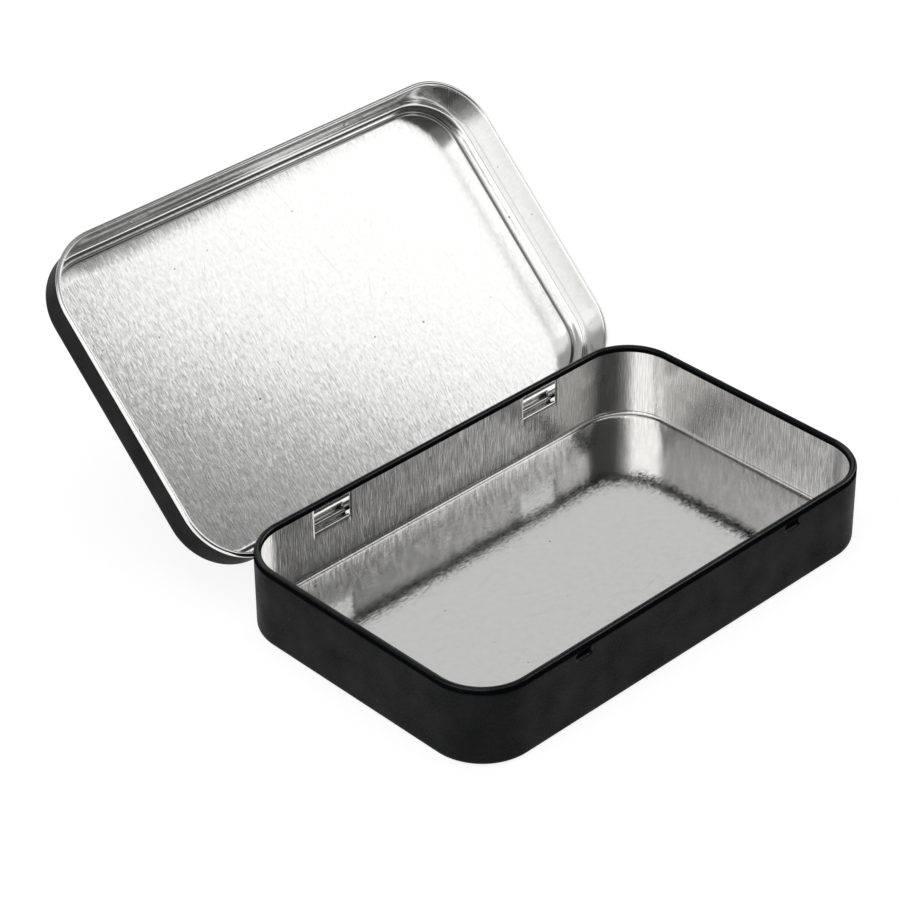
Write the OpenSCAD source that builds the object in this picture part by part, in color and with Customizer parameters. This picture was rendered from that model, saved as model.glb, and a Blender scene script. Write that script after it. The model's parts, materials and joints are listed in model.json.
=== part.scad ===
// Slim hinged tin for a deck of cards, drawn with its lid open on its stop.
// It is two drawn sheet-metal shells and nothing else: there is no separate pin or pivot.
// Two tongues lanced out of the rear wall of the base are rolled into hooks, and the rolled
// bead round the mouth of the lid runs through them, so the bead itself is the hinge pin.
//
// Origin: centre of the flat underside. +X runs along the long side, +Y towards the hinge
// and +Z up. All sizes are in millimetres.

/* [Base] */
// Length of the base over its end walls
base_l = 110; // [104:1:130]
// Width of the base over its front and rear walls
base_w = 68.4; // [60:0.2:90]
// Height of the base to the top of its rolled rim
base_h = 17.5; // [16:0.5:24]
// Outer radius of the upright corners
corner_r = 11.7; // [9:0.1:16]
// Outer radius of the bent edge round the underside
foot_r = 1.2; // [0.8:0.1:2.5]
// Thickness of the sheet metal
sheet_t = 0.25; // [0.2:0.01:0.3]
// Outer diameter of the rim rolled inwards round the top
rim_d = 1.5; // [1.2:0.1:2]
// How far the rolled rim turns
rim_turn = 290; // [200:5:300]

/* [Lid] */
// Height of the lid from its mouth to the top of its raised panel
lid_h = 10.3; // [8.5:0.1:12]
// Gap between the skirt of the closed lid and the walls of the base
skirt_gap = 0.65; // [0.5:0.05:1]
// Headroom between the rim of the base and the shoulder of the closed lid
rim_room = 1.6; // [0.8:0.1:2.5]
// Outer radius of the shoulder at the top of the skirt
shoulder_r = 1.75; // [1:0.05:2.2]
// Distance from the outside of the skirt to the foot of the step
ledge_w = 2; // [2:0.1:4]
// Height of the raised panel above the ledge
panel_rise = 1; // [0.9:0.05:1.4]
// Radius of the two bends of the step, on their hollow side
step_r = 0.3; // [0.2:0.05:0.3]
// Outer diameter of the bead rolled outwards round the mouth
bead_d = 1.06; // [0.9:0.02:1.3]
// How far the bead turns
bead_turn = 280; // [270:5:290]

/* [Hinge] */
// Distance between the middles of the two hooks
hook_pitch = 57.4; // [30:0.2:66]
// Width of each hook and of the window that it was cut from
hook_w = 9.4; // [6:0.1:10]
// Gap between the bead and the hook where they bear on each other
bear_gap = 0.05; // [0.04:0.01:0.1]
// How far the middle of the hook lies from the middle of the bead
hook_shift = 0.65; // [0.5:0.05:0.8]
// Direction from the middle of the hook to where the bead bears on it, down from level
bear_dir = 45; // [35:1:55]
// Direction of the free end of the hook, up from level
hook_end = 50; // [30:5:60]
// Radius of the two corners at the free end of the hook
hook_corner_r = 0.8; // [0.3:0.1:1.2]
// Radius of the bend from the wall into the hook, on its hollow side
root_r = 0.32; // [0.25:0.01:0.5]
// Strip of wall left between the rolled rim and the top of the window
window_strip = 0.3; // [0.2:0.1:1]
// Gap between the hook and the slot in the skirt, at each side and at the top
slot_gap = 0.25; // [0.15:0.05:0.6]
// Angle that the lid opens to
open_angle = 136; // [110:1:145]
// Gap left at the stop between the sill of the slot and the hook
stop_gap = 0.03; // [0.02:0.01:0.06]

/* [Snap] */
// Distance between the middles of the two snaps
snap_pitch = 57.4; // [20:0.2:74]
// Gap between the rolled rim and the dimples below it
snap_gap = 0.1; // [0.05:0.05:1]
// Width of the dimples in the base
dimple_w = 4.7; // [3:0.1:8]
// Depth of the dimples in the base
dimple_d = 0.4; // [0.3:0.05:0.5]
// Width of the bumps in the lid
bump_w = 4.5; // [3:0.1:7.5]
// Height of the bumps in the lid
bump_d = 0.3; // [0.15:0.05:0.35]
// Radius of the punch for the dimples
dimple_punch_r = 1; // [0.8:0.05:1]
// Radius of the punch for the bumps
bump_punch_r = 0.7; // [0.5:0.05:1]

/* [Hidden] */
$fn = 96;
eps = 0.01;
lap = 2;
paint = [0.14, 0.145, 0.15];

// Outline of the lid, closed over the base
skirt_out = skirt_gap + sheet_t;
lid_l = base_l + 2 * skirt_out;
lid_w = base_w + 2 * skirt_out;
lid_corner_r = corner_r + skirt_out;
ledge_h = lid_h - panel_rise;
panel_inset = ledge_w + 2 * step_r + sheet_t;

// Hinge axis: the middle of the bead along the rear of the lid
bead_r = bead_d / 2;
mouth_z = base_h + rim_room + sheet_t - ledge_h;
axis_y = base_w / 2 + skirt_gap + bead_r;
axis_z = mouth_z + bead_r;

// The hook is round its own middle, and the bead bears on it below and outside that middle
hook_r = bead_r + bear_gap + hook_shift;
hook_out_r = hook_r + sheet_t;
hook_y = axis_y - hook_shift * cos(bear_dir);
hook_z = axis_z + hook_shift * sin(bear_dir);

// The root bend is tangent to the rear wall and to the hook
root_y = base_w / 2 + root_r;
root_reach = hook_out_r + root_r;
root_z = hook_z - sqrt(pow(root_reach, 2) - pow(hook_y - root_y, 2));
root_dir = atan2(hook_z - root_z, hook_y - root_y);
window_top = base_h - rim_d - window_strip;

// The sill is the strip of skirt left below each slot. At the open angle the inner edge of
// its top, carried round with the bead, meets the inside of the hook: this is the stop.
stop_r = hook_r - stop_gap;
stop_turn = open_angle - bear_dir;
sill_reach = sqrt(pow(stop_r, 2) - pow(bead_r - hook_shift * cos(stop_turn), 2));
sill_h = max(0, sill_reach - hook_shift * sin(stop_turn));

// The top of the slot clears the free end of the hook as the lid swings past it
hook_tip = [hook_y - axis_y, hook_z - axis_z] + hook_out_r * [cos(hook_end), sin(hook_end)];
slot_top = norm(hook_tip) + slot_gap;

// Snaps sit just under the rolled rim
dimple_hollow_r = dimple_punch_r + sheet_t;
dimple_offset = dimple_punch_r - dimple_d;
dimple_reach = sqrt(pow(dimple_hollow_r, 2) - pow(dimple_offset + sheet_t, 2));
snap_z = base_h - rim_d - dimple_reach - snap_gap;

// ---- Sections and sweeps ----

// Strip of sheet bent round the origin: outer radius r, from angle a through turn degrees
module bend(r, a, turn) {
    steps = ceil(turn / 30);
    fan = [for (i = [0:steps]) 2 * r * [cos(a + turn * i / steps), sin(a + turn * i / steps)]];
    intersection() {
        difference() {
            circle(r);
            circle(r - sheet_t);
        }
        polygon(concat([[0, 0]], fan));
    }
}

// Carries a section round a rounded rectangle. The section has x = 0 on the outline, minus x
// inwards and y upwards.
module sweep_round(l, w, r) {
    for (i = [0:3]) {
        half = (i % 2 == 0 ? l : w) / 2;
        run = (i % 2 == 0 ? w : l) - 2 * r;
        rotate(90 * i) {
            translate([half, 0, 0])
                rotate([90, 0, 0])
                    linear_extrude(run, center = true)
                        children();
            translate([half - r, run / 2, 0])
                rotate_extrude(angle = 90)
                    translate([r, 0])
                        children();
        }
    }
}

// Flat plate with rounded corners, from z = 0 up
module plate(l, w, r) {
    linear_extrude(sheet_t) {
        square([l - 2 * r, w], center = true);
        square([l, w - 2 * r], center = true);
        for (x = [-1, 1], y = [-1, 1])
            translate([x * (l / 2 - r), y * (w / 2 - r)])
                circle(r);
    }
}

// ---- Snaps ----

// Round-ended punch lying along X, with its middle at the origin. It presses a mark that is w
// wide and d deep into a face, and grow thickens it to the far side of the sheet.
module punch(w, d, r, grow = 0) {
    half_run = w / 2 - sqrt(pow(r, 2) - pow(r - d, 2));
    rotate([0, 90, 0])
        cylinder(h = 2 * half_run, r = r + grow, center = true);
    for (x = [-1, 1])
        translate([x * half_run, 0, 0])
            sphere(r + grow);
}

// Presses marks inwards through the front wall that the children draw. The outside of that
// wall is at y = -face.
module press_front(face, z, w, d, r) {
    difference() {
        union() {
            children();
            for (x = [-1, 1] * snap_pitch / 2)
                intersection() {
                    translate([x, -face - r + d, z])
                        punch(w, d, r, sheet_t);
                    translate([x - w, -face, z - 2 * r])
                        cube([2 * w, 2 * r, 4 * r]);
                }
        }
        for (x = [-1, 1] * snap_pitch / 2)
            translate([x, -face - r + d, z])
                punch(w, d, r);
    }
}

// ---- Base ----

// Bent foot, upright wall and rim rolled inwards
module base_section() {
    rim_r = rim_d / 2;
    translate([-foot_r, foot_r])
        bend(foot_r, 270, 90);
    translate([-sheet_t, foot_r])
        square([sheet_t, base_h - rim_r - foot_r]);
    translate([-rim_r, base_h - rim_r])
        bend(rim_r, 0, rim_turn);
}

// Opening in the rear wall that the tongue for one hook was folded out of
module window() {
    translate([-hook_w / 2, base_w / 2 - 2 * sheet_t, root_z])
        cube([hook_w, 3 * sheet_t, window_top - root_z]);
}

// Removes the square corners at the free end of a hook. The rounding stands out by eps, so
// that it crosses the two edges instead of just touching them.
module hook_corners() {
    depth = 3 * sheet_t;
    inset = hook_corner_r - eps;
    translate([0, hook_y, hook_z])
        rotate([hook_end, 0, 0])
            for (x = [-1, 1])
                translate([x * (hook_w / 2 - inset), hook_r + sheet_t / 2, -inset])
                    rotate([90, 0, 0])
                        difference() {
                            translate([x > 0 ? 0 : -hook_corner_r, 0, -depth])
                                cube([hook_corner_r, hook_corner_r, 2 * depth]);
                            cylinder(h = 3 * depth, r = hook_corner_r, center = true);
                        }
}

// Tongue rolled outwards and up round the bead. It starts in the wall, just below its window,
// and its two arcs lap by a hair where they meet, so that they are one piece of metal.
module hook() {
    difference() {
        rotate([90, 0, 90])
            linear_extrude(hook_w, center = true) {
                translate([base_w / 2 - sheet_t, root_z - sheet_t])
                    square(sheet_t);
                translate([root_y, root_z])
                    bend(root_r + sheet_t, root_dir, 180 - root_dir);
                translate([hook_y, hook_z])
                    bend(hook_out_r, root_dir - 180 - lap, 180 - root_dir + hook_end + lap);
            }
        hook_corners();
    }
}

module base() {
    color(paint)
        union() {
            difference() {
                press_front(base_w / 2, snap_z, dimple_w, dimple_d, dimple_punch_r) {
                    sweep_round(base_l, base_w, corner_r)
                        base_section();
                    plate(base_l - 2 * foot_r, base_w - 2 * foot_r, corner_r - foot_r);
                }
                for (x = [-1, 1] * hook_pitch / 2)
                    translate([x, 0, 0])
                        window();
            }
            for (x = [-1, 1] * hook_pitch / 2)
                translate([x, 0, 0])
                    hook();
        }
}

// ---- Lid ----

// Bead rolled outwards, skirt, shoulder, ledge and step up to the panel, from the mouth up
module lid_section() {
    step_x = ledge_w + step_r;
    translate([bead_r - sheet_t, bead_r])
        bend(bead_r, 180, bead_turn);
    translate([-sheet_t, bead_r])
        square([sheet_t, ledge_h - shoulder_r - bead_r]);
    translate([-shoulder_r, ledge_h - shoulder_r])
        bend(shoulder_r, 0, 90);
    translate([-ledge_w, ledge_h - sheet_t])
        square([ledge_w - shoulder_r, sheet_t]);
    translate([-ledge_w, ledge_h + step_r])
        bend(step_r + sheet_t, 180, 90);
    translate([-step_x - sheet_t, ledge_h + step_r])
        square([sheet_t, panel_rise - 2 * step_r - sheet_t]);
    translate([-panel_inset, lid_h - sheet_t - step_r])
        bend(step_r + sheet_t, 0, 90);
}

// Slot through the rear skirt, just above the bead, that lets one hook in round the bead
module slot() {
    slot_w = hook_w + 2 * slot_gap;
    translate([-slot_w / 2, lid_w / 2 - 2 * sheet_t, bead_r + sill_h])
        cube([slot_w, 2 * sheet_t + eps, slot_top - sill_h]);
}

// The lid closed over the base, with its mouth at z = 0
module closed_lid() {
    difference() {
        press_front(lid_w / 2, snap_z - mouth_z, bump_w, bump_d, bump_punch_r) {
            sweep_round(lid_l, lid_w, lid_corner_r)
                lid_section();
            translate([0, 0, lid_h - sheet_t])
                plate(lid_l - 2 * panel_inset, lid_w - 2 * panel_inset, lid_corner_r - panel_inset);
        }
        for (x = [-1, 1] * hook_pitch / 2)
            translate([x, 0, 0])
                slot();
    }
}

module lid() {
    color(paint)
        translate([0, axis_y, axis_z])
            rotate([-open_angle, 0, 0])
                translate([0, -axis_y, -bead_r])
                    closed_lid();
}

base();
lid();
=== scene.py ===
# %% [markdown]
# # A slim tin for a deck of cards, with its lid open
#
# The real tin is two drawn sheets of tinplate, painted satin black on one side and left bare
# on the other. Everything that looks like a rim, a hook or a hinge pin is the same thin sheet,
# bent. So this lesson makes every surface the same way: draw the sheet's section as a pen
# would, carry it round a rounded rectangle, and give it its thickness to both sides.

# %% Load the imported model
import json
import math
from collections import namedtuple

import bpy
import numpy as np
from mathutils import Matrix, Vector


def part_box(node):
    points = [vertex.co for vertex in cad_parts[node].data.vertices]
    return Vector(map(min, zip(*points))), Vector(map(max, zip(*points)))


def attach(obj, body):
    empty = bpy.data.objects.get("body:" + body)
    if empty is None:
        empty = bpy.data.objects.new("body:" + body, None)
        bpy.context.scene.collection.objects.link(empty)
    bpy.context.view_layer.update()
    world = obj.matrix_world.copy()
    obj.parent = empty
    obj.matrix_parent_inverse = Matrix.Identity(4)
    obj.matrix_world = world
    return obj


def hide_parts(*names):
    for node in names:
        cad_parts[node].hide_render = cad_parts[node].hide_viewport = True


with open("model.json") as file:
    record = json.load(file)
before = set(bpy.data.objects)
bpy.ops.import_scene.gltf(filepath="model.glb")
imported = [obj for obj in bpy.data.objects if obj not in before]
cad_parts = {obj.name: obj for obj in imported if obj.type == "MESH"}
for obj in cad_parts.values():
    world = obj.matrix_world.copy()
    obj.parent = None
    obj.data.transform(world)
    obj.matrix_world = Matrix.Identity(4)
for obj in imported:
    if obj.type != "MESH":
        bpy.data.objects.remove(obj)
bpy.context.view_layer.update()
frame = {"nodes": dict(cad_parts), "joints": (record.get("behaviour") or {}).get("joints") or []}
print("CAD nodes:", sorted(frame["nodes"]))

# %% [markdown]
# ## Sizes
#
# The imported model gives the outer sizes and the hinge. What it can't say directly, such as the
# radius of a bend, is written here once, in metres.

# %% Sizes of the tin
MM = 0.001
sheet_t = 0.25 * MM

base_low, base_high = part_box("base")
lid_low, lid_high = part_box("lid")
base_l = base_high.x - base_low.x
base_w = -2 * base_low.y
base_h = base_high.z
base_corner_r = 11.7 * MM
foot_r = 1.2 * MM
rim_r = 0.75 * MM
rim_turn = 290

hinge = frame["joints"][0]
axis_y, axis_z = hinge["pos_m"][1:]
open_angle = math.radians(hinge["range_deg"][1])

bead_r = 0.53 * MM
bead_turn = 280
lid_overhang = axis_y - bead_r + sheet_t - base_w / 2
lid_l = base_l + 2 * lid_overhang
lid_w = base_w + 2 * lid_overhang
lid_corner_r = base_corner_r + lid_overhang
lid_h = 10.3 * MM
panel_rise = 1.0 * MM
ledge_w = 2.0 * MM
step_r = 0.3 * MM
shoulder_r = 1.75 * MM
mouth_z = axis_z - bead_r
print(f"base {base_l / MM:.1f} x {base_w / MM:.1f} x {base_h / MM:.1f} mm")
print(f"lid {lid_l / MM:.1f} x {lid_w / MM:.1f} x {lid_h / MM:.1f} mm")

# %% Sizes of the hinge and the snaps
hinge_x = 28.7 * MM
hook_w = 9.4 * MM
hook_r = 1.23 * MM
hook_shift = 0.65 * MM
hook_end = math.radians(50)
hook_corner_r = 0.8 * MM
root_r = 0.32 * MM
tongue_top = 13.6 * MM
window_top = 15.7 * MM
slot_side = 0.25 * MM
slot_low = 0.951 * MM
slot_high = 2.448 * MM

hook_y = axis_y - hook_shift * math.cos(math.radians(45))
hook_z = axis_z + hook_shift * math.sin(math.radians(45))
root_y = base_w / 2 + root_r
root_z = hook_z - math.sqrt((hook_r + sheet_t + root_r) ** 2 - (hook_y - root_y) ** 2)
root_dir = math.atan2(hook_z - root_z, hook_y - root_y)

snap_x = 28.7 * MM
snap_z = 14.98 * MM
bump_top, bump_low = 6.1 * MM, 3.8 * MM
print(f"hinge axis at y {axis_y / MM:.2f}, z {axis_z / MM:.2f} mm; windows start at z {root_z / MM:.2f} mm")

# %% [markdown]
# ## Bending a sheet with a pen
#
# A pressed section is runs and turns. The pen starts at a point with a heading, and each move
# adds its points to the centreline. The left-hand normals come with it, so that both faces of
# the sheet are the centreline moved half a thickness to each side, and every bend is round.


# %% The pen
def draw_section(start, heading, moves):
    """Centreline of a bent sheet, as points (n, 2) and left-hand unit normals (n, 2).

    A move ("run", length, steps) goes straight on. A move ("turn", radius, angle, steps) goes
    round a circle, to the left where angle is above zero: the point is the circle's centre
    plus radius times the direction that the heading has, a quarter turn back.
    """
    points, headings = [np.array([start], float)], [np.array([heading], float)]
    here, facing = np.array(start, float), float(heading)
    for move in moves:
        share = np.linspace(0, 1, move[-1] + 1)[1:, None]
        if move[0] == "run":
            ahead = np.array([math.cos(facing), math.sin(facing)])
            step = here + share * move[1] * ahead
            angles = np.full(move[-1], facing)
        else:
            radius, angle = move[1], move[2]
            side = math.copysign(1, angle)
            centre = here + radius * side * np.array([-math.sin(facing), math.cos(facing)])
            angles = facing + share[:, 0] * angle
            step = centre + radius * side * np.stack([np.sin(angles), -np.cos(angles)], axis=1)
        points.append(step)
        headings.append(angles)
        here, facing = step[-1], angles[-1]
    headings = np.concatenate(headings)
    return np.concatenate(points), np.stack([-np.sin(headings), np.cos(headings)], axis=1)


base_path, base_left = draw_section(
    (-foot_r, sheet_t / 2),
    0,
    [
        ("turn", foot_r - sheet_t / 2, math.radians(90), 8),
        ("run", root_z - foot_r, 12),
        ("run", tongue_top - root_z, 8),
        ("run", window_top - tongue_top, 18),
        ("run", base_h - rim_r - window_top, 18),
        ("turn", rim_r - sheet_t / 2, math.radians(rim_turn), 30),
    ],
)
root_row = 8 + 12
window_rows = (root_row, root_row + 8 + 18)
print(f"base section: {len(base_path)} points, {base_path[root_row, 1] / MM:.2f} mm up at the windows")

# %% The lid's section, closed, with its mouth at zero
panel_inset = ledge_w + 2 * step_r + sheet_t
ledge_h = lid_h - panel_rise
snap_in_lid = snap_z - mouth_z
lid_path, lid_left = draw_section(
    (-panel_inset, lid_h - sheet_t / 2),
    0,
    [
        ("turn", step_r + sheet_t / 2, math.radians(-90), 6),
        ("run", panel_rise - 2 * step_r - sheet_t, 1),
        ("turn", step_r + sheet_t / 2, math.radians(90), 6),
        ("run", ledge_w - shoulder_r, 1),
        ("turn", shoulder_r - sheet_t / 2, math.radians(-90), 9),
        ("run", ledge_h - shoulder_r - bump_top, 4),
        ("run", bump_top - bump_low, 18),
        ("run", bump_low - slot_high, 4),
        ("run", slot_high - slot_low, 5),
        ("run", slot_low - bead_r, 2),
        ("turn", bead_r - sheet_t / 2, math.radians(bead_turn), 30),
    ],
)
# a row's number is the steps of all the moves before it
slot_row = 6 + 1 + 6 + 1 + 9 + 4 + 18 + 4
slot_rows = (slot_row, slot_row + 5)
print(f"lid section: {len(lid_path)} points, slots from {lid_path[slot_rows[1], 1] / MM:.2f} mm")

# %% [markdown]
# ## The outline
#
# Both shells follow a rounded rectangle, anticlockwise from the middle of the right-hand end.
# The two long sides need more columns where the hooks, windows, slots and snaps are.


# %% Columns along the long sides
def long_side_marks(half_run, cut_half):
    """Places along a long side, from minus half_run to half_run, close together at the edges
    of the cuts that lie cut_half to each side of the hinges, and over the snaps between."""
    near = np.array([0, 0.06, 0.14, 0.26, 0.45, 0.8]) * MM
    low, high = hinge_x - cut_half, hinge_x + cut_half
    half = np.concatenate([
        np.linspace(0, low - near[-1], 20, endpoint=False),
        low - near[:0:-1],
        low + near,
        np.linspace(low + near[-1], high - near[-1], 32)[1:-1],
        high - near[::-1],
        high + near[1:],
        np.linspace(high + near[-1], half_run, 7)[1:],
    ])
    return np.concatenate([-half[:0:-1], half])


def rounded_outline(length, width, radius, cut_half, end_steps=20, corner_steps=22):
    """Points (n, 2) and outward normals (n, 2) of a rounded rectangle, and the columns where
    the rear side starts and ends. A corner point is its centre plus radius times its normal."""
    half_x, half_y = length / 2 - radius, width / 2 - radius
    marks = long_side_marks(half_x, cut_half)
    ends = np.linspace(-half_y, half_y, end_steps + 1)
    turn = np.linspace(0, math.pi / 2, corner_steps + 1)[1:-1]
    points, normals, starts = [], [], []
    for side, run in enumerate([ends, marks, ends, marks]):
        angle = side * math.pi / 2
        out = np.array([math.cos(angle), math.sin(angle)])
        along = np.array([-out[1], out[0]])
        reach = length / 2 if side % 2 == 0 else width / 2
        starts.append(sum(len(p) for p in points))
        points.append(out * reach + run[:, None] * along)
        normals.append(np.tile(out, (len(run), 1)))
        corner_dirs = np.stack([np.cos(angle + turn), np.sin(angle + turn)], axis=1)
        centre = out * (reach - radius) + along * run[-1]
        points.append(centre + radius * corner_dirs)
        normals.append(corner_dirs)
    return np.concatenate(points), np.concatenate(normals), (starts[1], starts[1] + len(marks) - 1)


base_line, base_out, base_rear = rounded_outline(base_l, base_w, base_corner_r, hook_w / 2)
lid_line, lid_out, lid_rear = rounded_outline(lid_l, lid_w, lid_corner_r, hook_w / 2 + slot_side)
print(f"base outline: {len(base_line)} columns, lid outline: {len(lid_line)} columns")

# %% [markdown]
# ## From a section and an outline to a shell
#
# Row by row, the section's points are moved in or out along the outline's normals. The flat
# floor or panel inside the first row is rings that shrink to one middle point. The last ring
# lies close to the bend where the metal stays flat up to it, and further in where the real
# panel starts to bend early, as smooth shading then bends the reflections between the two.
# The dents are added to each face by itself, because a pressed dent is a little wider on its
# far side.


# %% The grid of a shell
FLOOR_RINGS = 8
SOFT_RING, CLOSE_RING = 0.875, 0.985
ROLL_REACH = 0.35 * MM
ROLL_DEPTH = 0.09 * MM
ROLL_BELOW = 0.3 * MM


def ring_shares(outer):
    """How far out each ring of the flat middle lies, (rings, columns), as a share of the way to
    its edge: even steps from zero to the outer ring's share."""
    return np.linspace(0, 1, FLOOR_RINGS)[:, None] * outer[None]


def shell_faces(path, left, line, out, shares, dent):
    """The two faces of the sheet, each a grid of points (rows, columns, 3).

    A point is the outline's point plus the section's offset times the outline's normal, at the
    section's height, moved half a sheet to the left or right. The rings of the flat middle are
    the first row times their shares.
    """
    faces = []
    for side in (0.5, -0.5):
        section = path + side * sheet_t * left
        flat = line[None] + section[:, :1, None] * out[None]
        height = np.broadcast_to(section[:, 1:, None], flat.shape[:2] + (1,))
        grid = np.concatenate([flat, height], axis=2)
        rings = grid[:1] * np.stack([shares, shares, np.ones_like(shares)], axis=2)
        grid = np.concatenate([rings, grid])
        faces.append(dent(grid, side))
    return faces


def punch_level(grid, side, punch):
    """How deep a round-ended punch, pressed twice into the front wall, gets at each point:
    one in the middle, and falling to nothing with the distance from the punch's flat core."""
    x, y, height = grid[..., 0], grid[..., 1], grid[..., 2]
    reach = punch["radius"] + (sheet_t if side == punch["wide side"] else 0)
    half_line = punch["width"] / 2 - 0.8 * punch["radius"]
    off_line = np.maximum(np.abs(np.abs(x) - snap_x) - half_line, 0)
    off_level = np.maximum(np.maximum(punch["low"] - height, height - punch["high"]), 0)
    level = np.clip((reach - np.hypot(off_line, off_level)) / (0.7 * reach), 0, 1)
    return np.where(y < 1.5 * sheet_t - punch["front"], level, 0)


def press(grid, side, punch):
    """Moves the front wall inwards by the punch's depth times a smooth step of its level."""
    level = punch_level(grid, side, punch)
    moved = grid.copy()
    moved[..., 1] += punch["depth"] * level ** 2 * (3 - 2 * level)
    return moved


BASE_PUNCH = {"front": base_w / 2, "low": snap_z, "high": 15.3 * MM, "width": 4.4 * MM,
              "radius": 0.9 * MM, "depth": 0.6 * MM, "wide side": 0.5}
LID_PUNCH = {"front": lid_w / 2, "low": snap_in_lid, "high": snap_in_lid, "width": 4.5 * MM,
             "radius": 0.7 * MM, "depth": 0.3 * MM, "wide side": -0.5}


def window_roll(grid):
    """Draws the sheet outwards beside each window, as a lancing punch does. The depth falls
    from the cut to nothing by the square of one minus the distance over the reach."""
    x, y, height = grid[..., 0], grid[..., 1], grid[..., 2]
    from_side = np.abs(np.abs(np.abs(x) - hinge_x) - hook_w / 2)
    below = np.maximum(root_z - ROLL_BELOW - height, 0)
    above = np.maximum(height - window_top, 0)
    beside = np.hypot(from_side, np.maximum(below, above))
    over = np.hypot(np.maximum(np.abs(np.abs(x) - hinge_x) - hook_w / 2, 0), np.abs(height - window_top))
    share = np.clip(1 - np.minimum(beside, over) / ROLL_REACH, 0, 1)
    moved = grid.copy()
    moved[..., 1] += np.where(y > base_w / 2 - 2 * sheet_t, ROLL_DEPTH * share ** 2, 0)
    return moved


def base_dent(grid, side):
    grid = press(grid, side, BASE_PUNCH)
    return window_roll(grid) if side > 0 else grid


def lid_dent(grid, side):
    return press(grid, side, LID_PUNCH)


def no_dent(grid, side):
    return grid


base_shares = ring_shares(np.full(len(base_line), SOFT_RING))
soft_edge = np.clip(lid_out[:, 0] - lid_out[:, 1], 0, 1)
lid_shares = ring_shares(CLOSE_RING + (SOFT_RING - CLOSE_RING) * soft_edge)
base_faces = shell_faces(base_path, base_left, base_line, base_out, base_shares, base_dent)
lid_faces = shell_faces(lid_path, lid_left, lid_line, lid_out, lid_shares, lid_dent)
print("base grid:", base_faces[0].shape, "lid grid:", lid_faces[0].shape)

# %% [markdown]
# ## Stitching the shell
#
# The quads of both faces, the raw edge at the end of the roll and the cut edges round each
# window are all index arithmetic on the grid, so they are made as whole arrays.


# %% Quads, cuts and edges
def cut_mask(shape, cut_rows, rear, line, cut_half):
    """True for the quads of the rear wall that a window or slot removes."""
    rows, columns = shape[0] - 1, shape[1]
    mask = np.zeros((rows, columns), bool)
    middle = (line + np.roll(line, -1, axis=0)) / 2
    on_rear = (np.arange(columns) >= rear[0]) & (np.arange(columns) < rear[1])
    inside = np.abs(np.abs(middle[:, 0]) - hinge_x) < cut_half
    mask[FLOOR_RINGS + cut_rows[0]:FLOOR_RINGS + cut_rows[1]] = on_rear & inside
    return mask


def shell_quads(mask, tongue_row=None):
    """Quads of a shell as rows of four indices into its left grid followed by its right grid,
    and what each quad is: 0 left face, 1 right face, 2 raw edge."""
    rows, columns = mask.shape
    total = (rows + 1) * columns
    row, column = np.nonzero(~mask)
    after = (column + 1) % columns
    corners = np.stack([row * columns + column, (row + 1) * columns + column,
                        (row + 1) * columns + after, row * columns + after], axis=1)
    quads, kinds = [corners, corners[:, ::-1] + total], [0, 1]
    last = rows * columns + np.arange(columns)
    last_after = np.roll(last, -1)
    quads.append(np.stack([last, last + total, last_after + total, last_after], axis=1))
    kinds.append(2)
    # cut edges that run along a column: where one column of quads is there and the next isn't
    ahead = np.roll(mask, -1, axis=1)
    for edge, flip in ((~mask & ahead, False), (mask & ~ahead, True)):
        row, column = np.nonzero(edge)
        a = row * columns + (column + 1) % columns
        b = a + columns
        quad = np.stack([a, b, b + total, a + total], axis=1)
        quads.append(quad[:, ::-1] if flip else quad)
        kinds.append(2)
    # cut edges that run along a row
    for edge, flip in ((~mask[:-1] & mask[1:], False), (mask[:-1] & ~mask[1:], True)):
        row, column = np.nonzero(edge)
        if not flip and tongue_row is not None:
            keep = row + 1 != tongue_row
            row, column = row[keep], column[keep]
        a = (row + 1) * columns + column
        b = (row + 1) * columns + (column + 1) % columns
        quad = np.stack([a + total, b + total, b, a], axis=1)
        quads.append(quad[:, ::-1] if flip else quad)
        kinds.append(2)
    counts = [len(q) for q in quads]
    return np.concatenate(quads), np.repeat(kinds, counts)


base_mask = cut_mask(base_faces[0].shape, window_rows, base_rear, base_line, hook_w / 2)
lid_mask = cut_mask(lid_faces[0].shape, slot_rows, lid_rear, lid_line, hook_w / 2 + slot_side)
print("quads cut out:", int(base_mask.sum()), int(lid_mask.sum()))

# %% [markdown]
# ## A map of the sheet
#
# The grain of the tinplate follows the metal round its bends, so the pattern can't be placed in
# space: it needs its own map. On the drawn walls U runs round the tin and V up the wall, both in
# metres. On the flat floor and panel V runs along the direction in which the sheet was rolled,
# which is the long way on the base and the short way on the lid, as they were cut from the roll.


# %% Distances along the sheet
FLAT_REACH = 0.05


def running_length(points):
    """Distance from the first point to each point of a line: the sum of the steps before it."""
    return np.concatenate([[0], np.cumsum(np.linalg.norm(np.diff(points, axis=0), axis=1))])


def sheet_map(path, line, shares):
    """U and V of each point of a shell's two grids: the distance along the outline, and the
    distance along the section, which goes on below zero over the rings of the flat middle."""
    wall = np.broadcast_to(running_length(path)[:, None], (len(path), len(line)))
    along = np.concatenate([FLAT_REACH * (shares - 1), wall])
    around = np.broadcast_to(running_length(line), along.shape)
    grid = np.stack([around, along], axis=2).reshape(-1, 2)
    return np.concatenate([grid, grid])


def corner_map(points_map, quads, lap):
    """The map at each quad's corners. Where a quad crosses the closing seam, its corners on
    the far side get one whole lap more, so that the pattern doesn't run backwards there."""
    corners = points_map[quads]
    jump = corners[:, :, 0].max(axis=1, keepdims=True) - corners[:, :, 0] > lap / 2
    corners[:, :, 0] += np.where(jump, lap, 0)
    return corners


def on_rows(values, line):
    """A value for each point of a shell's two grids, from one for each row of its section."""
    grid = np.repeat(np.concatenate([np.full(FLOOR_RINGS, values[0]), values]), len(line))
    return np.concatenate([grid, grid])


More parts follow.
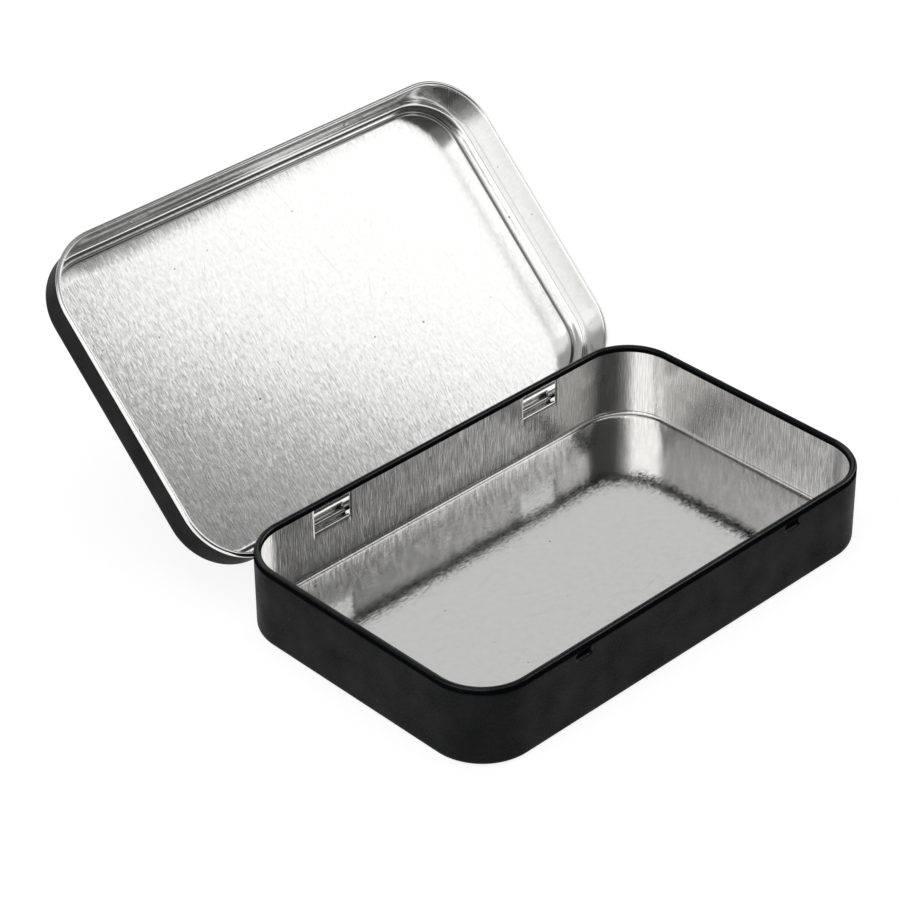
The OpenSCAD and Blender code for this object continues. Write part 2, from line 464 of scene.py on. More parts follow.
base_map = sheet_map(base_path, base_line, base_shares)
lid_map = sheet_map(lid_path, lid_line, lid_shares)
base_lap, lid_lap = base_map[:, 0].max(), lid_map[:, 0].max()
print(f"the base's wall is {base_lap / MM:.0f} mm round, the lid's {lid_lap / MM:.0f} mm")

# %% [markdown]
# ## The tongues
#
# Each hook is a tongue of the rear wall, so its grid starts on the wall's own points at the
# bottom of its window. The pen bends it out and then up round the bead.


# %% Tongue grids
TONGUE_ROWS = 40
tongue_path, tongue_left = draw_section(
    (base_w / 2 - sheet_t / 2, root_z),
    math.pi / 2,
    [
        ("turn", root_r + sheet_t / 2, root_dir - math.pi, 60),
        ("turn", hook_r + sheet_t / 2, math.pi - root_dir + hook_end, 160),
    ],
)
tongue_length = running_length(tongue_path)
tongue_heading = np.unwrap(np.arctan2(-tongue_left[:, 0], tongue_left[:, 1]))
print(f"each tongue is {tongue_length[-1] / MM:.1f} mm long before it is cut back")


def tongue_grid(columns_x, middle, wave, side):
    """One face of a tongue, (rows, columns, 3). Each column runs from the wall to the free
    end, which is cut back by a quarter circle at both corners and by a slow wave."""
    across = np.clip(np.abs(columns_x - middle) - (hook_w / 2 - hook_corner_r), 0, hook_corner_r)
    corner = hook_corner_r - np.sqrt(hook_corner_r ** 2 - across ** 2)
    length = tongue_length[-1] - corner - wave
    along = np.linspace(0, 1, TONGUE_ROWS + 1)[:, None] * length[None]
    heading = np.interp(along, tongue_length, tongue_heading)
    y = np.interp(along, tongue_length, tongue_path[:, 0]) - side * sheet_t * np.sin(heading)
    z = np.interp(along, tongue_length, tongue_path[:, 1]) + side * sheet_t * np.cos(heading)
    return np.stack([np.broadcast_to(columns_x, y.shape), y, z], axis=2)


def free_edge_wave(x, middle):
    """How far the free edge of a tongue is cut back: a slope across it and two sine waves, of
    about one and a half and four waves to its width, that start at another place on each."""
    u = (x - middle) / hook_w
    return MM * (0.18 - 0.25 * u + 0.10 * np.sin(9 * u + 40 * middle / MM) + 0.05 * np.sin(23 * u))


def add_tongue(middle, grid_rows, columns_total, first_index):
    """Points, quads and kinds of one tongue, whose first row is the wall's own points."""
    near = np.abs(base_line[:, 0] - middle) < hook_w
    columns = np.nonzero(base_mask[FLOOR_RINGS + root_row] & near)[0]
    columns = np.append(columns, columns[-1] + 1)
    x = base_line[columns, 0]
    wave = free_edge_wave(x, middle)
    faces = [tongue_grid(x, middle, wave, side) for side in (0.5, -0.5)]
    wall = (FLOOR_RINGS + root_row) * columns_total + columns
    size = TONGUE_ROWS * len(columns)
    index = []
    for side in (0, 1):
        inner = first_index + side * size + np.arange(size).reshape(TONGUE_ROWS, len(columns))
        index.append(np.concatenate([(wall + side * grid_rows * columns_total)[None], inner]))
    left, right = index
    quads, kinds = [], []
    for grid, kind in ((left, 0), (right[:, ::-1], 1)):
        corners = (grid[:-1, :-1], grid[1:, :-1], grid[1:, 1:], grid[:-1, 1:])
        quads.append(np.stack(corners, axis=2).reshape(-1, 4))
        kinds.append(np.full(len(quads[-1]), kind))
    edges = (
        np.stack([left[-1, :-1], right[-1, :-1], right[-1, 1:], left[-1, 1:]], axis=1),
        np.stack([left[:-1, -1], left[1:, -1], right[1:, -1], right[:-1, -1]], axis=1),
        np.stack([right[:-1, 0], right[1:, 0], left[1:, 0], left[:-1, 0]], axis=1),
    )
    for quad in edges:
        quads.append(quad)
        kinds.append(np.full(len(quad), 2))
    points = np.concatenate([f[1:].reshape(-1, 3) for f in faces])
    around = base_map[wall, 0]
    along = base_map[wall, 1] + np.linspace(0, 1, TONGUE_ROWS + 1)[1:, None] * tongue_length[-1]
    own_map = np.stack([np.broadcast_to(around, along.shape), along], axis=2).reshape(-1, 2)
    return points, np.concatenate([own_map, own_map]), np.concatenate(quads), np.concatenate(kinds)


# %% [markdown]
# ## From arrays to a mesh
#
# Blender takes whole arrays with foreach_set. Points that lie together are made one first, so
# that the seam of the outline, the roots of the tongues and the middle of the floor are closed.

# %% Build a mesh from arrays
SHARP_FROM = math.radians(40)


def make_piece(name, points, quads, material_index, uv, marks, materials):
    """A mesh object from points (n, 3), quads (m, 4), one material index and four UV pairs a
    quad, and named values at each point. Where two corners of a quad are one point, as at the
    middle of a floor, it becomes a triangle."""
    _, first, same = np.unique(np.round(points, 8), axis=0, return_index=True, return_inverse=True)
    quads = same.reshape(-1)[quads]
    points = points[first]
    keep = np.ones(quads.shape, bool)
    keep[:, 1:] &= quads[:, 1:] != quads[:, :-1]
    keep[:, 0] &= quads[:, 0] != quads[:, -1]
    sizes = keep.sum(axis=1)
    mesh = bpy.data.meshes.new(name)
    mesh.vertices.add(len(points))
    mesh.vertices.foreach_set("co", points.astype(np.float32).ravel())
    mesh.loops.add(int(sizes.sum()))
    mesh.loops.foreach_set("vertex_index", quads[keep].astype(np.int32))
    mesh.polygons.add(len(quads))
    starts = np.concatenate([[0], np.cumsum(sizes)[:-1]])
    mesh.polygons.foreach_set("loop_start", starts.astype(np.int32))
    mesh.polygons.foreach_set("material_index", material_index.astype(np.int32))
    layer = mesh.uv_layers.new(name="sheet")
    layer.uv.foreach_set("vector", uv[keep].astype(np.float32).ravel())
    for mark, values in marks.items():
        layer = mesh.attributes.new(mark, "FLOAT", "POINT")
        layer.data.foreach_set("value", values[first].astype(np.float32))
    mesh.update(calc_edges=True)
    mesh.polygons.foreach_set("use_smooth", np.ones(len(quads), bool))
    mesh.set_sharp_from_angle(angle=SHARP_FROM)
    mesh.validate()
    piece = bpy.data.objects.new(name, mesh)
    bpy.context.scene.collection.objects.link(piece)
    for material in materials:
        mesh.materials.append(material)
    return piece


# %% [markdown]
# ## Finishes
#
# Bare tinplate is never a clean mirror. Its surface is made of short fine facets along the way it
# was rolled, each tilted a little, so that it glitters, and over them lie longer streaks. Where
# the sheet was drawn into a wall, both run up the wall and the metal is a little wavy. The
# facets, streaks, clouds and scratches are made in one node group and the specks in another,
# and each finish places them with its own sizes. The groups only put out patterns and colours.
# The shader stays in each material.


# %% Helpers for nodes
def add_node(tree, kind, settings, inputs):
    """A node with its settings and inputs. An input that is a socket is linked to it, and any
    other value is set on it."""
    node = tree.nodes.new(kind)
    for key, value in settings.items():
        setattr(node, key, value)
    for key, value in inputs.items():
        if isinstance(value, bpy.types.NodeSocket):
            tree.links.new(value, node.inputs[key])
        else:
            node.inputs[key].default_value = value
    return node


def math_node(tree, operation, first, second):
    """The result of one piece of arithmetic on two sockets or numbers."""
    return add_node(tree, "ShaderNodeMath", {"operation": operation}, {0: first, 1: second}).outputs[0]


FLOAT, VECTOR, COLOR = "NodeSocketFloat", "NodeSocketVector", "NodeSocketColor"


def multiply_add(tree, first, second, third):
    """The first times the second, plus the third."""
    return add_node(tree, "ShaderNodeMath", {"operation": "MULTIPLY_ADD"},
                    {0: first, 1: second, 2: third}).outputs[0]


def new_group(name, inputs, outputs):
    """An empty node group with its named sockets, and its input and output nodes."""
    group = bpy.data.node_groups.new(name, "ShaderNodeTree")
    for socket, kind in inputs:
        group.interface.new_socket(socket, in_out="INPUT", socket_type=kind)
    for socket, kind in outputs:
        group.interface.new_socket(socket, in_out="OUTPUT", socket_type=kind)
    return group, group.nodes.new("NodeGroupInput"), group.nodes.new("NodeGroupOutput")


def stretched_place(tree, sheet, across, along):
    """The place on the sheet's map, counted in cells across wide and along long, in metres."""
    split = add_node(tree, "ShaderNodeSeparateXYZ", {}, {0: sheet})
    u = math_node(tree, "DIVIDE", split.outputs[0], across)
    v = math_node(tree, "DIVIDE", split.outputs[1], along)
    return add_node(tree, "ShaderNodeCombineXYZ", {}, {0: u, 1: v}).outputs[0]


def stretched_noise(tree, sheet, across, along, detail, roughness):
    """Noise whose cells are across wide and along long, in metres on the sheet's map."""
    place = stretched_place(tree, sheet, across, along)
    noise = add_node(tree, "ShaderNodeTexNoise", {"noise_dimensions": "2D"},
                     {"Vector": place, "Scale": 1, "Detail": detail, "Roughness": roughness})
    return noise.outputs["Fac"]


# %% The grain group
SCRATCH_TURNS = (0.25, -0.5)
SCRATCH_WIDTH, SCRATCH_LENGTH = 0.12 * MM, 16 * MM

grain, grain_in, grain_out = new_group(
    "rolled grain",
    [("Sheet", VECTOR), ("Streak Width", FLOAT), ("Streak Length", FLOAT), ("Cloud Size", FLOAT),
     ("Facet Width", FLOAT), ("Facet Length", FLOAT)],
    [("Streaks", FLOAT), ("Streak Tone", FLOAT), ("Clouds", FLOAT), ("Scratches", FLOAT), ("Facets", COLOR)],
)
streaks = stretched_noise(grain, grain_in.outputs["Sheet"], grain_in.outputs["Streak Width"],
                          grain_in.outputs["Streak Length"], 2, 0.6)
clouds = stretched_noise(grain, grain_in.outputs["Sheet"], grain_in.outputs["Cloud Size"],
                         grain_in.outputs["Cloud Size"], 1, 0.4)
facet_place = stretched_place(grain, grain_in.outputs["Sheet"], grain_in.outputs["Facet Width"],
                              grain_in.outputs["Facet Length"])
facets = add_node(grain, "ShaderNodeTexVoronoi", {"voronoi_dimensions": "2D"},
                  {"Vector": facet_place, "Scale": 1})
lines = []
for turn in SCRATCH_TURNS:
    turned = add_node(grain, "ShaderNodeVectorRotate", {"rotation_type": "Z_AXIS"},
                      {"Vector": grain_in.outputs["Sheet"], "Angle": turn})
    line_noise = stretched_noise(grain, turned.outputs[0], SCRATCH_WIDTH, SCRATCH_LENGTH, 0, 0.5)
    line = add_node(grain, "ShaderNodeMapRange", {},
                    {"Value": line_noise, "From Min": 0.87, "From Max": 0.92})
    lines.append(line.outputs[0])
streak_tone = add_node(grain, "ShaderNodeMapRange", {}, {"Value": streaks, "From Min": 0.3, "From Max": 0.7})
grain.links.new(streaks, grain_out.inputs["Streaks"])
grain.links.new(streak_tone.outputs[0], grain_out.inputs["Streak Tone"])
grain.links.new(clouds, grain_out.inputs["Clouds"])
grain.links.new(facets.outputs["Color"], grain_out.inputs["Facets"])
grain.links.new(math_node(grain, "MAXIMUM", *lines), grain_out.inputs["Scratches"])
print("group:", grain.name)

# %% The speck group
EMPTY_CELLS = 0.6

specks, specks_in, specks_out = new_group(
    "dust and specks", [("Sheet", VECTOR), ("Spacing", FLOAT), ("Size", FLOAT)], [("Specks", FLOAT)])
scale = math_node(specks, "DIVIDE", 1, specks_in.outputs["Spacing"])
cells = add_node(specks, "ShaderNodeTexVoronoi", {"voronoi_dimensions": "2D"},
                 {"Vector": specks_in.outputs["Sheet"], "Scale": scale})
split = add_node(specks, "ShaderNodeSeparateColor", {}, {0: cells.outputs["Color"]})
own_size = math_node(specks, "MULTIPLY", split.outputs[0], specks_in.outputs["Size"])
reach = math_node(specks, "MULTIPLY", own_size, scale)
near = math_node(specks, "LESS_THAN", cells.outputs["Distance"], reach)
chosen = math_node(specks, "GREATER_THAN", split.outputs[1], EMPTY_CELLS)
specks.links.new(math_node(specks, "MULTIPLY", near, chosen), specks_out.inputs["Specks"])
print("group:", specks.name)


# %% Tinplate
Streak = namedtuple("Streak", "width length depth tone")
Facet = namedtuple("Facet", "width length tilt")
Cloud = namedtuple("Cloud", "size depth tone")
# the first colour is painted shade for the fold of the lid's step; the second is real dust
PAINTED_SHADE_COLOR, DUST = (0.03, 0.03, 0.028), (0.3, 0.29, 0.27)
STREAK_SHADE = 0.5
CLOUD_ROUGHNESS, SCRATCH_ROUGHNESS = 0.06, 0.15
UPRIGHT = (0.5, 0.5, 1)


def use_group(tree, group, inputs):
    """A node that places a group in a material."""
    return add_node(tree, "ShaderNodeGroup", {"node_tree": group}, inputs)


def blend_color(tree, share, first, second):
    """The first colour, turned towards the second by the share."""
    mix = add_node(tree, "ShaderNodeMix", {"data_type": "RGBA"}, {0: share})
    for socket, color in ((mix.inputs[6], first), (mix.inputs[7], second)):
        if isinstance(color, bpy.types.NodeSocket):
            tree.links.new(color, socket)
        else:
            socket.default_value = (*color, 1)
    return mix.outputs[2]


def tinplate(name, color, roughness, spread, streak, facet, cloud, scratch_depth, speck_size):
    """Bare tin-coated steel. spread is how much wider reflections smear across the grain than
    along it. Sizes and depths are in metres, a tone is how far the pattern darkens the metal,
    and a facet's tilt is the share of its own random normal that it gets."""
    material = bpy.data.materials.new(name)
    material.use_nodes = True
    tree = material.node_tree
    shader = tree.nodes["Principled BSDF"]
    shader.inputs["Metallic"].default_value = 1
    shader.inputs["Anisotropic"].default_value = spread
    across = add_node(tree, "ShaderNodeTangent", {"direction_type": "UV_MAP", "uv_map": "sheet"}, {})
    tree.links.new(across.outputs[0], shader.inputs["Tangent"])
    sheet = add_node(tree, "ShaderNodeUVMap", {"uv_map": "sheet"}, {}).outputs[0]
    pattern = use_group(tree, grain, {
        "Sheet": sheet, "Streak Width": streak.width, "Streak Length": streak.length,
        "Cloud Size": cloud.size, "Facet Width": facet.width, "Facet Length": facet.length})
    dust = use_group(tree, specks, {"Sheet": sheet, "Spacing": 11 * MM, "Size": speck_size})
    cloud_tone = math_node(tree, "MULTIPLY", pattern.outputs["Clouds"], cloud.tone)
    tone = multiply_add(tree, pattern.outputs["Streak Tone"], streak.tone, cloud_tone)
    toned = blend_color(tree, tone, color, tuple(c * STREAK_SHADE for c in color))
    # a value at each point darkens the metal towards the first colour: painted shade in the fold of the lid's
    # step
    painted_step_shade = add_node(tree, "ShaderNodeAttribute", {"attribute_name": "painted_step_shade"}, {}).outputs["Fac"]
    step_shaded = blend_color(tree, painted_step_shade, toned, PAINTED_SHADE_COLOR)
    dusty = blend_color(tree, dust.outputs[0], step_shaded, DUST)
    tree.links.new(dusty, shader.inputs["Base Color"])
    rough = multiply_add(tree, pattern.outputs["Clouds"], CLOUD_ROUGHNESS, roughness - CLOUD_ROUGHNESS / 2)
    scuffed = multiply_add(tree, pattern.outputs["Scratches"], SCRATCH_ROUGHNESS, rough)
    tree.links.new(scuffed, shader.inputs["Roughness"])
    tilt = blend_color(tree, facet.tilt, UPRIGHT, pattern.outputs["Facets"])
    tilted = add_node(tree, "ShaderNodeNormalMap", {"uv_map": "sheet"}, {"Color": tilt})
    wavy = add_node(tree, "ShaderNodeBump", {}, {
        "Height": pattern.outputs["Clouds"], "Distance": cloud.depth, "Normal": tilted.outputs[0]})
    rolled = add_node(tree, "ShaderNodeBump", {}, {
        "Height": pattern.outputs["Streaks"], "Distance": streak.depth, "Normal": wavy.outputs[0]})
    scratched = add_node(tree, "ShaderNodeBump", {}, {
        "Height": pattern.outputs["Scratches"], "Distance": scratch_depth, "Normal": rolled.outputs[0]})
    tree.links.new(scratched.outputs[0], shader.inputs["Normal"])
    return material


TIN, DRAWN_TIN, STEEL = (0.9, 0.9, 0.892), (0.9, 0.893, 0.872), (0.75, 0.74, 0.72)
floor_tin = tinplate(
    "tinplate, base floor", TIN, 0.09, 0.2, Streak(0.26 * MM, 2 * MM, 0.006 * MM, 0.05),
    Facet(0.16 * MM, 0.6 * MM, 0.013), Cloud(1.6 * MM, 0.004 * MM, 0.06), 0.001 * MM, 0.24 * MM)
panel_tin = tinplate(
    "tinplate, lid panel", TIN, 0.12, 0.2, Streak(0.26 * MM, 3 * MM, 0.003 * MM, 0.06),
    Facet(0.17 * MM, 1 * MM, 0.009), Cloud(0.9 * MM, 0.003 * MM, 0.06), 0.001 * MM, 0.24 * MM)
wall_tin = tinplate(
    "tinplate, drawn wall", DRAWN_TIN, 0.16, 0.75, Streak(0.3 * MM, 4.5 * MM, 0.014 * MM, 0.4),
    Facet(0.2 * MM, 2 * MM, 0.018), Cloud(4 * MM, 0.014 * MM, 0.08), 0, 0.2 * MM)
skirt_tin = tinplate(
    "tinplate, lid wall", TIN, 0.15, 0.3, Streak(0.3 * MM, 3 * MM, 0.004 * MM, 0.1),
    Facet(0.3 * MM, 1 * MM, 0.008), Cloud(3 * MM, 0.006 * MM, 0.06), 0, 0.2 * MM)
hook_tin = tinplate(
    "tinplate, bent hook", TIN, 0.1, 0.3, Streak(0.3 * MM, 3 * MM, 0.006 * MM, 0.1),
    Facet(0.2 * MM, 1 * MM, 0.01), Cloud(0.7 * MM, 0.01 * MM, 0.1), 0, 0.2 * MM)
edge_tin = tinplate(
    "cut steel edge", STEEL, 0.3, 0, Streak(0.1 * MM, 0.4 * MM, 0.01 * MM, 0.1),
    Facet(0.1 * MM, 0.2 * MM, 0.05), Cloud(0.5 * MM, 0.01 * MM, 0.2), 0, 0.1 * MM)
print("finishes:", [m.name for m in (floor_tin, panel_tin, wall_tin, skirt_tin, hook_tin, edge_tin)])

# %% [markdown]
# ## The paint
#
# The outside has one thin coat of satin black. Its colour is nearly nothing, so what shows is
# its gloss: a clear coat, a little uneven, over a matt ground. A value at each point of the mesh
# says how much gloss there is. None in the crease under the rim and inside the notches is painted
# shade that keeps them black, and much on the top of the rim is a painted highlight.

# %% Satin black paint
COAT_DARK, COAT_LIGHT = (0.003, 0.0033, 0.0042), (0.0048, 0.0052, 0.0062)
COAT_DUST = (0.03, 0.03, 0.03)

paint = bpy.data.materials.new("satin black paint")
paint.use_nodes = True
tree = paint.node_tree
shader = tree.nodes["Principled BSDF"]
shader.inputs["Specular IOR Level"].default_value = 0
shader.inputs["Roughness"].default_value = 0.6
shader.inputs["Coat Roughness"].default_value = 0.2
sheet = add_node(tree, "ShaderNodeUVMap", {"uv_map": "sheet"}, {}).outputs[0]
peel = stretched_noise(tree, sheet, 0.35 * MM, 0.5 * MM, 2, 0.5)
patches = stretched_noise(tree, sheet, 7 * MM, 7 * MM, 3, 0.5)
dust = use_group(tree, specks, {"Sheet": sheet, "Spacing": 6 * MM, "Size": 0.22 * MM})
coat = blend_color(tree, patches, COAT_DARK, COAT_LIGHT)
dusty = blend_color(tree, dust.outputs[0], coat, COAT_DUST)
tree.links.new(dusty, shader.inputs["Base Color"])
gloss = add_node(tree, "ShaderNodeAttribute", {"attribute_name": "gloss"}, {}).outputs["Fac"]
uneven = math_node(tree, "ADD", peel, patches)
tree.links.new(math_node(tree, "MULTIPLY", gloss, uneven), shader.inputs["Coat Weight"])
skin = add_node(tree, "ShaderNodeBump", {}, {"Height": peel, "Distance": 0.008 * MM})
tree.links.new(skin.outputs[0], shader.inputs["Normal"])
print("finish:", paint.name)

# %% [markdown]
# ## Putting the two pieces together
#
# The hooks are part of the base's sheet, so they are stitched to its wall before the mesh is
# made. The lid is drawn closed, with its mouth at height zero, and then opened about the hinge.

# %% The base's points, quads and finishes
FLOOR_TOP = 0.3 * MM
PAINT, FLAT, WALL, EDGE, HOOK = range(5)

base_quads, base_kinds = shell_quads(base_mask, FLOOR_RINGS + root_row)
rows, columns = base_faces[0].shape[:2]
points = [np.concatenate([f.reshape(-1, 3) for f in base_faces])]
maps, quads, kinds = [base_map], [base_quads], [base_kinds]
for middle in (-hinge_x, hinge_x):
    tongue = add_tongue(middle, rows, columns, sum(len(p) for p in points))
    for stack, part in zip((points, maps, quads, kinds), tongue):
        stack.append(part)
tongue_quads = np.arange(sum(len(q) for q in quads)) >= len(base_quads)
points, maps, quads, kinds = (np.concatenate(stack) for stack in (points, maps, quads, kinds))
flat = points[quads][:, :, 2].max(axis=1) < FLOOR_TOP
finish = np.select([kinds == 1, kinds == 2, flat, tongue_quads], [PAINT, EDGE, FLAT, HOOK], WALL)
uv = corner_map(maps, quads, base_lap)
uv[flat] = points[quads[flat]][:, :, [1, 0]]
print("base finishes, quads of each:", np.bincount(finish))

# %% Where the base's paint gets painted shade and painted highlights through its gloss
PLAIN_GLOSS = 0.21
CREASE = (16.0 * MM, 16.4 * MM)
CREASE_TILT = (6 / 11, 8 / 11)
RIM_HIGHLIGHT_TILT = (0.6, 0.8)
NOTCH_SHADE_LEVEL = (0, 1 / 3)
LIP_GLOSS, LIP_END = 5, 0.7
LIP_TOP = 15.6 * MM


def ramp(values, span):
    """Zero below the span, one above it, and a straight line between."""
    return np.clip((values - span[0]) / (span[1] - span[0]), 0, 1)


# the crease under the rim loses its gloss, painted shade that draws a black line below the rim, and the top
# of the rim, where it faces up, gets more, a painted highlight
height = base_path[:, 1]
facing_up = np.where(height > base_h / 2, -base_left[:, 1], 0)
crease_shade = ramp(height, CREASE) * (1 - ramp(facing_up, CREASE_TILT))
gloss = np.full(len(points), PLAIN_GLOSS)
gloss[:len(base_map)] = on_rows(PLAIN_GLOSS * (1 - crease_shade) + ramp(facing_up, RIM_HIGHLIGHT_TILT), base_line)

# the notches lose their gloss, painted shade that keeps them black, and their lower edge and right-hand end
# get more, a painted highlight along the lip
plain_face = shell_faces(base_path, base_left, base_line, base_out, base_shares, no_dent)[1]
level = punch_level(plain_face, -0.5, BASE_PUNCH)
from_snap = (np.abs(plain_face[..., 0]) - snap_x) * np.sign(plain_face[..., 0])
lip = (plain_face[..., 2] < snap_z) | ((from_snap > 0) & (plain_face[..., 2] < LIP_TOP))
outside = slice(level.size, 2 * level.size)
gloss[outside] *= 1 - ramp(level.ravel(), NOTCH_SHADE_LEVEL)
gloss[outside] += np.where(lip, np.clip(LIP_GLOSS * level * (LIP_END - level), 0, 1), 0).ravel()
print(f"gloss from {gloss.min():.2f} to {gloss.max():.2f}")

# %% Assemble the base
FINISHES = [paint, floor_tin, wall_tin, edge_tin, hook_tin]
base_piece = make_piece("base_shell", points, quads, finish, uv, {"gloss": gloss}, FINISHES)
print("base_shell:", len(base_piece.data.polygons), "faces")

# %% Assemble the lid and open it
STEP_ROW, STEP_SHADE_STRENGTH, STEP_SPAN = 7.5, 0.85, (1.6, 5.6)
SHOULDER_GLOSS, SHOULDER_TILT = 0.5, (1 / 6, 1 / 2)

quads, kinds = shell_quads(lid_mask)
points = np.concatenate([f.reshape(-1, 3) for f in lid_faces])
flat = points[quads][:, :, 2].min(axis=1) > ledge_h - 2 * sheet_t
finish = np.select([kinds == 0, kinds == 2, flat], [PAINT, EDGE, FLAT], WALL)
uv = corner_map(lid_map, quads, lid_lap)
uv[flat] = points[quads[flat]][:, :, [0, 1]]
y, z = points[:, 1] - axis_y, points[:, 2] + mouth_z - axis_z
points = np.stack([
    points[:, 0],
    axis_y + y * math.cos(open_angle) + z * math.sin(open_angle),
    axis_z - y * math.sin(open_angle) + z * math.cos(open_angle),
], axis=1)
on_shoulder = ramp(lid_left[:, 0] * lid_left[:, 1], SHOULDER_TILT)
# the rows round the lid's step get painted shade, strongest at its fold and gone beyond the span
from_step = np.abs(np.arange(len(lid_path)) - STEP_ROW)
marks = {
    "gloss": on_rows(PLAIN_GLOSS + SHOULDER_GLOSS * on_shoulder, lid_line),
    "painted_step_shade": on_rows(STEP_SHADE_STRENGTH * (1 - ramp(from_step, STEP_SPAN)), lid_line),
}
lid_piece = make_piece("lid_shell", points, quads, finish, uv, marks, [paint, panel_tin, skirt_tin, edge_tin])
print("lid_shell:", len(lid_piece.data.polygons), "faces")

for piece, node in ((base_piece, "base"), (lid_piece, "lid")):
    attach(piece, node)
    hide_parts(node)

# %% [markdown]
# ## The floor
#
# The tin stands on white paper. To the camera, and in the metal, most of the floor's white is
# its own, so that the page stays white and the tin keeps a faint shadow. To everything else it
# is plain pale paper.

# %% Floor
FLOOR_REACH = 3.0
PAPER, SHADOW_PART, WHITE_PART = 0.8, 0.3, 0.85

floor_mesh = bpy.data.meshes.new("floor")
corners = np.array([(-1, -1, 0), (1, -1, 0), (1, 1, 0), (-1, 1, 0)]) * FLOOR_REACH
floor_mesh.from_pydata(corners.tolist(), [], [(0, 1, 2, 3)])
floor = bpy.data.objects.new("floor", floor_mesh)
bpy.context.scene.collection.objects.link(floor)
paper = bpy.data.materials.new("white paper floor")
paper.use_nodes = True
tree = paper.node_tree
tree.nodes.remove(tree.nodes["Principled BSDF"])
path = add_node(tree, "ShaderNodeLightPath", {}, {})
seen = math_node(tree, "MAXIMUM", path.outputs["Is Camera Ray"], path.outputs["Is Glossy Ray"])
seen = math_node(tree, "MAXIMUM", seen, path.outputs["Is Transmission Ray"])
plain_paper = add_node(tree, "ShaderNodeBsdfDiffuse", {}, {"Color": (PAPER, PAPER, PAPER, 1)})
shadow_part = add_node(tree, "ShaderNodeBsdfDiffuse", {},
                       {"Color": (SHADOW_PART, SHADOW_PART, SHADOW_PART, 1)})
white_part = add_node(tree, "ShaderNodeEmission", {}, {"Color": (1, 1, 1, 1), "Strength": WHITE_PART})
both = add_node(tree, "ShaderNodeAddShader", {}, {0: shadow_part.outputs[0], 1: white_part.outputs[0]})
mix = add_node(tree, "ShaderNodeMixShader", {}, {0: seen, 1: plain_paper.outputs[0], 2: both.outputs[0]})
tree.links.new(mix.outputs[0], tree.nodes["Material Output"].inputs["Surface"])
floor_mesh.materials.append(paper)
print("floor:", 2 * FLOOR_REACH, "m square")

# %% [markdown]
# ## The camera
#
# Its place, its direction and its focal length were fitted to the edges of the tin in the
# photograph, which was taken from a little over half a metre away with a long lens.

# %% Camera
FRAME_PX, FOCAL_PX = 900, 3155.2
SENSOR = 36

camera_at = Vector((-0.35973, -0.34613, 0.36387))
ahead = Vector((0.57387, 0.60111, -0.55619)).normalized()
up = Vector((0.39229, 0.39440, 0.83100))
right = ahead.cross(up).normalized()
up = right.cross(ahead)
camera_data = bpy.data.cameras.new("camera")
camera_data.sensor_width = SENSOR
camera_data.lens = FOCAL_PX / FRAME_PX * SENSOR
camera_data.clip_start = 0.01
camera = bpy.data.objects.new("camera", camera_data)
camera.matrix_world = Matrix.Translation(camera_at) @ Matrix((right, up, -ahead)).transposed().to_4x4()
bpy.context.scene.collection.objects.link(camera)
bpy.context.scene.camera = camera
print(f"camera: {camera_at.length:.2f} m away, lens {camera_data.lens:.0f} mm")

# %% [markdown]
# ## Light
#
# Metal looks like what stands round it, so the lamps are large soft panels, each placed for what
# it is mirrored in: the back panel in the base's floor, the left panels in its right-hand wall
# and far corner, and the right panel in the lid. Where a highlight fades out, its panel goes on
# as one or two dimmer ones. The fill lights the paint and the paper, and no gloss mirrors it.

# %% Lamps
def panel(name, corner, along, up, radiance):
    """A lamp panel from one corner and its two edges, in metres. It shines against the cross
    product of along and up. Its power is pi times its area times the brightness at which metal
    shows it."""
    along, up = Vector(along), Vector(up)
    lamp = bpy.data.lights.new(name, "AREA")
    lamp.shape = "RECTANGLE"
    lamp.size, lamp.size_y = along.length, up.length
    lamp.energy = math.pi * along.length * up.length * radiance
    lamp_object = bpy.data.objects.new(name, lamp)
    turn = Matrix((along.normalized(), up.normalized(), along.cross(up).normalized())).transposed()
    middle = Vector(corner) + (along + up) / 2
    lamp_object.matrix_world = Matrix.Translation(middle) @ turn.to_4x4()
    lamp_object.visible_camera = False
    bpy.context.scene.collection.objects.link(lamp_object)
    return lamp_object


def standing(name, start, end, low, high, radiance):
    """An upright panel over the line from start to end on the floor, which shines to the left
    of somebody who walks that way."""
    along = (end[0] - start[0], end[1] - start[1], 0)
    return panel(name, (*start, low), along, (0, 0, high - low), radiance)


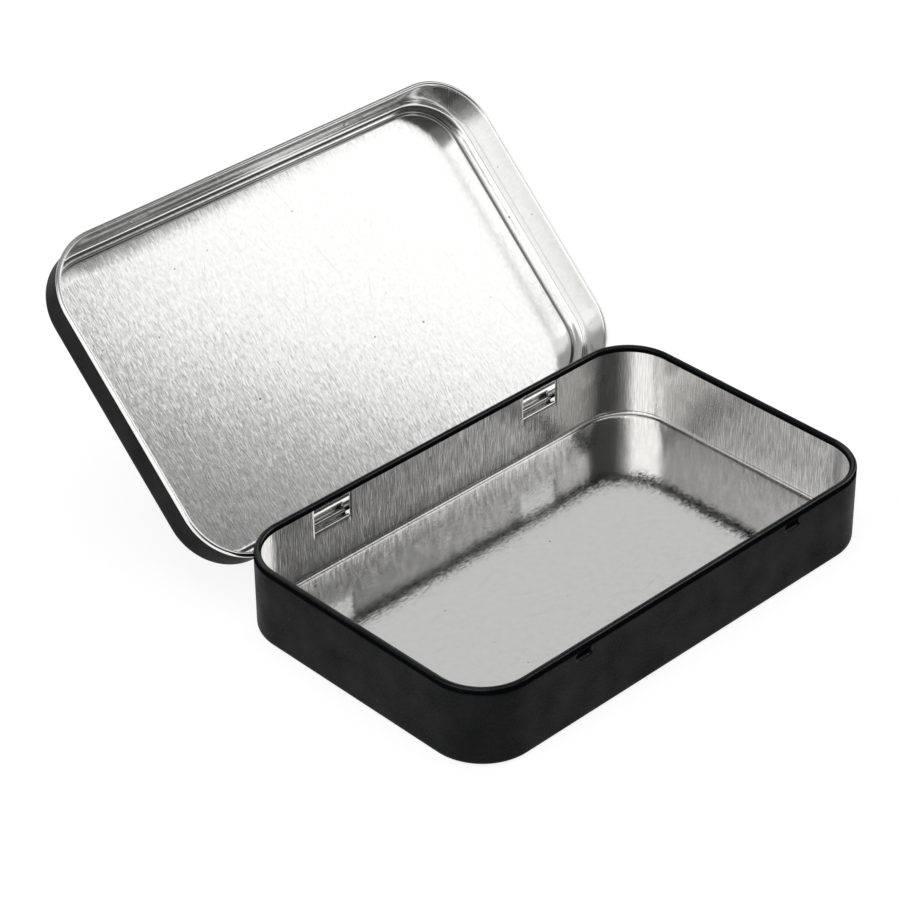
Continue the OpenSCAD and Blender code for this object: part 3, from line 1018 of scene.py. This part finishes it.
standing("left panel, rear end", (-2.2, 1.7), (-2.2, 1.3), 0.1, 2.9, 0.6)
standing("left panel", (-2.2, 1.3), (-2.2, -1.5), 0.1, 2.9, 1.2)
standing("left panel, front end", (-2.2, -1.5), (-2.2, -1.9), 0.1, 2.9, 0.85)
standing("left panel, first fade", (-2.2, -1.9), (-1.825, -2.254), 0.1, 2.27, 0.32)
standing("left panel, second fade", (-1.825, -2.254), (-1.226, -2.628), 0.1, 2.85, 0.12)
standing("left panel corner, low", (-2.2, -1.9), (-1.825, -2.254), 2.27, 3.5, 1.12)
standing("left panel corner, high", (-1.825, -2.254), (-1.226, -2.628), 2.85, 3.5, 1.12)
standing("front panel", (-1.226, -2.628), (1.45, -2.51), 2.8, 3.6, 1.1)
right_corner, right_along = Vector((2.19, -1.398, 0.1)), Vector((0.452, 1.63, 0.353))
right_up = (-0.245, -0.56, 2.9)
for name, start, end, radiance in (
    ("right panel", 0, 1, 1.15),
    ("right panel, near fade", -0.12, 0, 0.32),
    ("right panel, far fade", -0.26, -0.12, 0.13),
):
    panel(name, right_corner + start * right_along, (end - start) * right_along, right_up, radiance)
standing("back panel", (4.8, 2.6), (-1.3, 2.6), 1.3, 3.4, 0.55)
standing("rear left panel, near", (-1.3, 2.6), (-2.2, 2.6), 1.3, 3.4, 0.25)
standing("rear left panel, far", (-2.2, 2.6), (-4.0, 2.6), 1.3, 3.4, 0.2)
panel("top panel", (-1.2, 1.0, 3.0), (0, -3.1, 0), (2.7, 0, 0), 0.33)
panel("top panel, left rear", (-2.2, 1.0, 3.0), (0, -1.5, 0), (1, 0, 0), 0.45)
panel("top panel, left front", (-2.2, -0.5, 3.0), (0, -1.9, 0), (1, 0, 0), 0.95)
fill = panel("fill", (-1.5, 1.5, 3.5), (0, -3, 0), (3, 0, 0), 1.0)
fill.visible_glossy = False

# %% The room, and the white page behind it
ROOM = 0.05

world = bpy.data.worlds.new("studio")
bpy.context.scene.world = world
world.use_nodes = True
tree = world.node_tree
path = add_node(tree, "ShaderNodeLightPath", {}, {})
room = add_node(tree, "ShaderNodeBackground", {}, {"Color": (ROOM, ROOM, ROOM, 1)})
page = add_node(tree, "ShaderNodeBackground", {}, {"Color": (1, 1, 1, 1)})
mix = add_node(tree, "ShaderNodeMixShader", {},
               {0: path.outputs["Is Camera Ray"], 1: room.outputs[0], 2: page.outputs[0]})
tree.links.new(mix.outputs[0], tree.nodes["World Output"].inputs["Surface"])
bpy.context.scene.view_settings.view_transform = "Standard"
print("world:", world.name)
